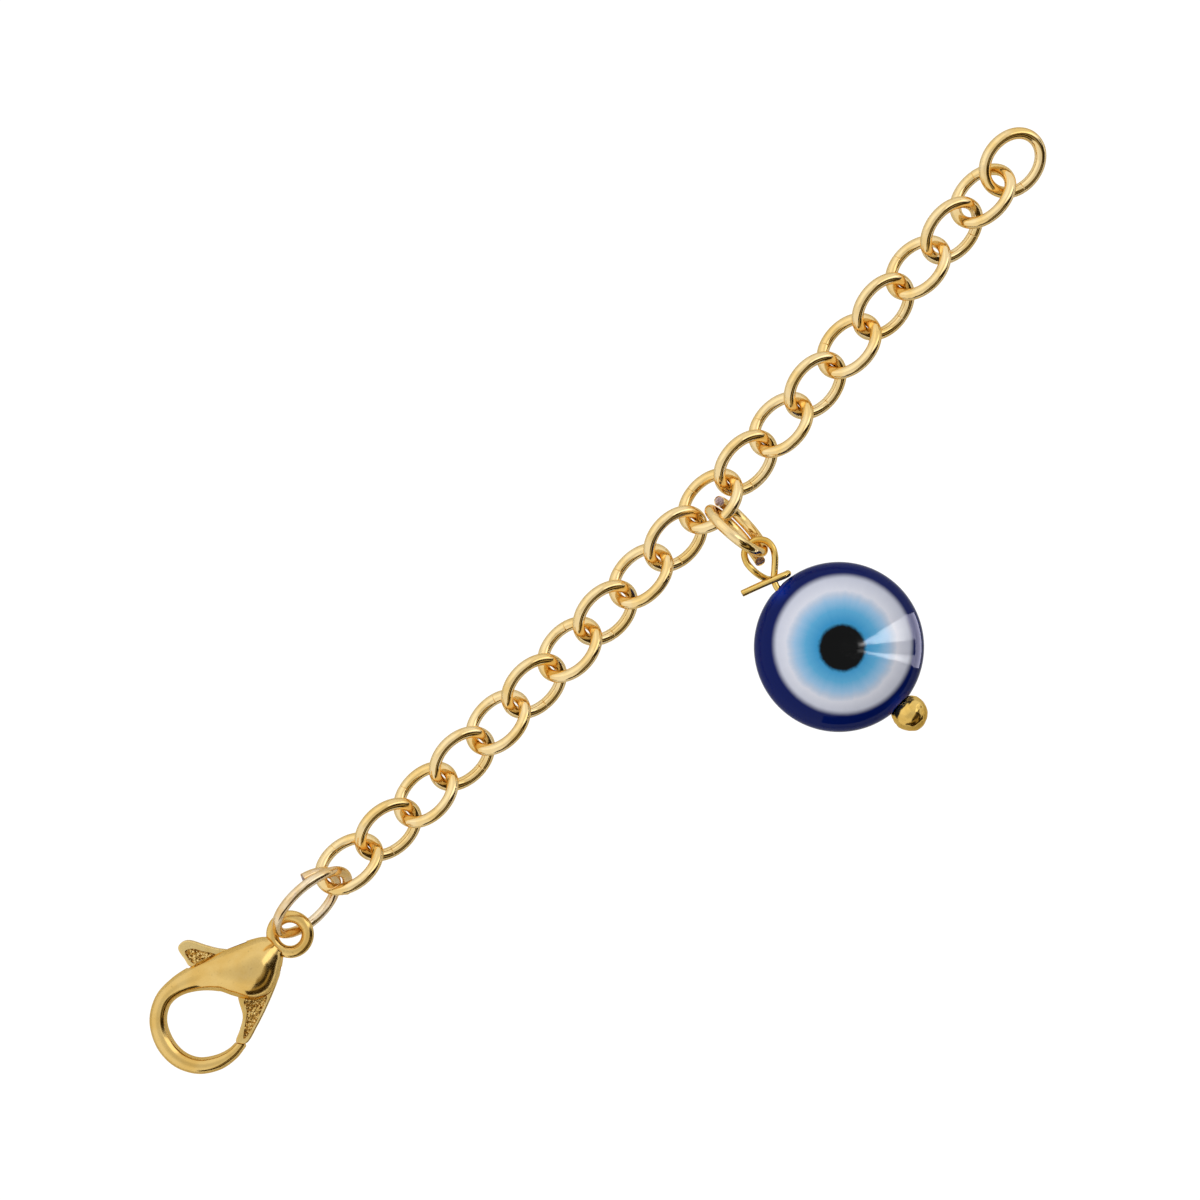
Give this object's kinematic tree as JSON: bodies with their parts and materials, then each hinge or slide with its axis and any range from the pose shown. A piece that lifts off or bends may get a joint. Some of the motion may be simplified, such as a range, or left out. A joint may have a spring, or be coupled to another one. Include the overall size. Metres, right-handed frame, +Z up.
{
  "type": "evil eye ornament",
  "caption": "Flat layered eye bead on a ball-headed pin, hung by an open ring from a short oval-link extender chain with a lobster clasp.",
  "frame": {"origin": "middle of the footprint's bounding box, on the surface the ornament lies on", "axes": "+X along the chain from the clasp to the free end, +Y away from the side the charm hangs on, +Z up out of the surface"},
  "size_m": [0.0898, 0.0276, 0.0059],
  "materials": {
    "gold": "bright light gold plating",
    "pale_gold": "worn pale champagne plating",
    "deep_gold": "polished yellow gold plating, sand-textured recesses on the lever",
    "steel": "plain drawn steel",
    "navy_resin": "glossy deep navy, slightly translucent",
    "white_resin": "glossy lavender white",
    "sky_resin": "glossy sky blue, paler towards its edge",
    "black_resin": "glossy black with a soft edge"
  },
  "bodies": {
    "clasp": {"clasp_body": "deep_gold", "lever_rivet": "steel", "lever_spring": "steel"},
    "lever": {"clasp_lever": "deep_gold"},
    "swivel_ring": {"clasp_ring": "pale_gold"},
    "link_20": {"chain_link_20": "gold"},
    "link_19": {"chain_link_19": "gold"},
    "link_18": {"chain_link_18": "gold"},
    "link_17": {"chain_link_17": "gold"},
    "link_16": {"chain_link_16": "gold"},
    "link_15": {"chain_link_15": "gold"},
    "link_14": {"chain_link_14": "gold"},
    "link_13": {"chain_link_13": "gold"},
    "link_12": {"chain_link_12": "gold"},
    "link_11": {"chain_link_11": "gold"},
    "link_10": {"chain_link_10": "gold"},
    "link_09": {"chain_link_09": "gold"},
    "link_08": {"chain_link_08": "gold"},
    "link_07": {"chain_link_07": "gold"},
    "link_06": {"chain_link_06": "gold"},
    "link_05": {"chain_link_05": "gold"},
    "link_04": {"chain_link_04": "gold"},
    "link_03": {"chain_link_03": "gold"},
    "link_02": {"chain_link_02": "gold"},
    "link_01": {"chain_link_01": "gold"},
    "hanging_ring": {"charm_ring": "gold"},
    "pin": {"head_pin": "gold"},
    "bead": {"bead_body": "navy_resin", "white_front": "white_resin", "iris_front": "sky_resin", "pupil_front": "black_resin", "white_back": "white_resin", "iris_back": "sky_resin", "pupil_back": "black_resin"}
  },
  "joints": [
    {"name": "lever_pivot", "type": "hinge", "parent": "clasp", "child": "lever", "pos_m": [-0.03582, 0.00903, 0.00165], "axis": [0, 0, -1], "range_deg": [0, 25], "stiffness_Nm_per_rad": 0.002, "springref_deg": -14.32, "deforming": ["lever_spring"]},
    {"name": "clasp_ring_swing", "type": "hinge", "parent": "clasp", "child": "swivel_ring", "pos_m": [-0.03119, 0.00861, 0.00165], "axis": [0, 1, 0], "range_deg": [-15, 45]},
    {"name": "link_20_swing", "type": "hinge", "parent": "swivel_ring", "child": "link_20", "pos_m": [-0.02697, 0.00918, 0.0028], "axis": [0, 0.3907, 0.9205], "range_deg": [-60, 45]},
    {"name": "link_19_swing", "type": "hinge", "parent": "link_20", "child": "link_19", "pos_m": [-0.0236, 0.00877, 0.00174], "axis": [-0.0479, 0.7967, -0.6024], "range_deg": [-60, 60]},
    {"name": "link_18_swing", "type": "hinge", "parent": "link_19", "child": "link_18", "pos_m": [-0.01995, 0.00838, 0.00158], "axis": [0.1195, 0.7798, 0.6145], "range_deg": [-60, 60]},
    {"name": "link_17_swing", "type": "hinge", "parent": "link_18", "child": "link_17", "pos_m": [-0.01633, 0.0083, 0.00157], "axis": [-0.0189, -0.7878, 0.6156], "range_deg": [-60, 60]},
    {"name": "link_16_swing", "type": "hinge", "parent": "link_17", "child": "link_16", "pos_m": [-0.01272, 0.00819, 0.00157], "axis": [-0.023, -0.7877, -0.6157], "range_deg": [-60, 60]},
    {"name": "link_15_swing", "type": "hinge", "parent": "link_16", "child": "link_15", "pos_m": [-0.00911, 0.00809, 0.00157], "axis": [0.0228, 0.7877, -0.6157], "range_deg": [-60, 60]},
    {"name": "link_14_swing", "type": "hinge", "parent": "link_15", "child": "link_14", "pos_m": [-0.0055, 0.00801, 0.00157], "axis": [0.0178, 0.7878, 0.6157], "range_deg": [-60, 60]},
    {"name": "link_13_swing", "type": "hinge", "parent": "link_14", "child": "link_13", "pos_m": [-0.00189, 0.00796, 0.00157], "axis": [-0.0125, -0.7879, 0.6157], "range_deg": [-60, 60]},
    {"name": "link_12_swing", "type": "hinge", "parent": "link_13", "child": "link_12", "pos_m": [0.00172, 0.0079, 0.00157], "axis": [-0.0125, -0.7879, -0.6157], "range_deg": [-60, 60]},
    {"name": "link_11_swing", "type": "hinge", "parent": "link_12", "child": "link_11", "pos_m": [0.00534, 0.00789, 0.00157], "axis": [0.0032, 0.788, -0.6157], "range_deg": [-60, 60]},
    {"name": "link_10_swing", "type": "hinge", "parent": "link_11", "child": "link_10", "pos_m": [0.00894, 0.00792, 0.00157], "axis": [-0.0054, 0.788, 0.6157], "range_deg": [-60, 60]},
    {"name": "link_09_swing", "type": "hinge", "parent": "link_10", "child": "link_09", "pos_m": [0.01257, 0.00795, 0.00157], "axis": [0.0054, -0.788, 0.6157], "range_deg": [-45, 30]},
    {"name": "link_08_swing", "type": "hinge", "parent": "link_09", "child": "link_08", "pos_m": [0.01623, 0.00797, 0.00157], "axis": [0.0054, -0.788, -0.6157], "range_deg": [-60, 60]},
    {"name": "link_07_swing", "type": "hinge", "parent": "link_08", "child": "link_07", "pos_m": [0.01991, 0.00808, 0.00157], "axis": [-0.0211, 0.7877, -0.6157], "range_deg": [-60, 60]},
    {"name": "link_06_swing", "type": "hinge", "parent": "link_07", "child": "link_06", "pos_m": [0.02359, 0.00825, 0.00157], "axis": [-0.0358, 0.7872, 0.6157], "range_deg": [-60, 60]},
    {"name": "link_05_swing", "type": "hinge", "parent": "link_06", "child": "link_05", "pos_m": [0.02727, 0.00842, 0.00157], "axis": [0.0358, -0.7872, 0.6157], "range_deg": [-60, 60]},
    {"name": "link_04_swing", "type": "hinge", "parent": "link_05", "child": "link_04", "pos_m": [0.03095, 0.00853, 0.00157], "axis": [0.0249, -0.7876, -0.6157], "range_deg": [-60, 60]},
    {"name": "link_03_swing", "type": "hinge", "parent": "link_04", "child": "link_03", "pos_m": [0.03463, 0.0086, 0.00157], "axis": [-0.0151, 0.7879, -0.6157], "range_deg": [-60, 60]},
    {"name": "link_02_swing", "type": "hinge", "parent": "link_03", "child": "link_02", "pos_m": [0.03818, 0.00867, 0.00157], "axis": [-0.0164, 0.7878, 0.6157], "range_deg": [-60, 60]},
    {"name": "link_01_swing", "type": "hinge", "parent": "link_02", "child": "link_01", "pos_m": [0.04146, 0.00874, 0.00157], "axis": [0.0176, -0.7878, 0.6157], "range_deg": [-60, 60]},
    {"name": "charm_ring_swing", "type": "hinge", "parent": "link_10", "child": "hanging_ring", "pos_m": [0.01028, 0.00647, 0.0027], "axis": [1, 0, 0], "range_deg": [-60, 70]},
    {"name": "head_pin_swing", "type": "hinge", "parent": "hanging_ring", "child": "pin", "pos_m": [0.00978, 0.00283, 0.0025], "axis": [0, 0, 1], "range_deg": [-30, 30]},
    {"name": "bead_spin", "type": "hinge", "parent": "pin", "child": "bead", "pos_m": [0.00898, -0.00572, 0.0025], "axis": [0, 1, 0], "continuous": true}
  ]
}
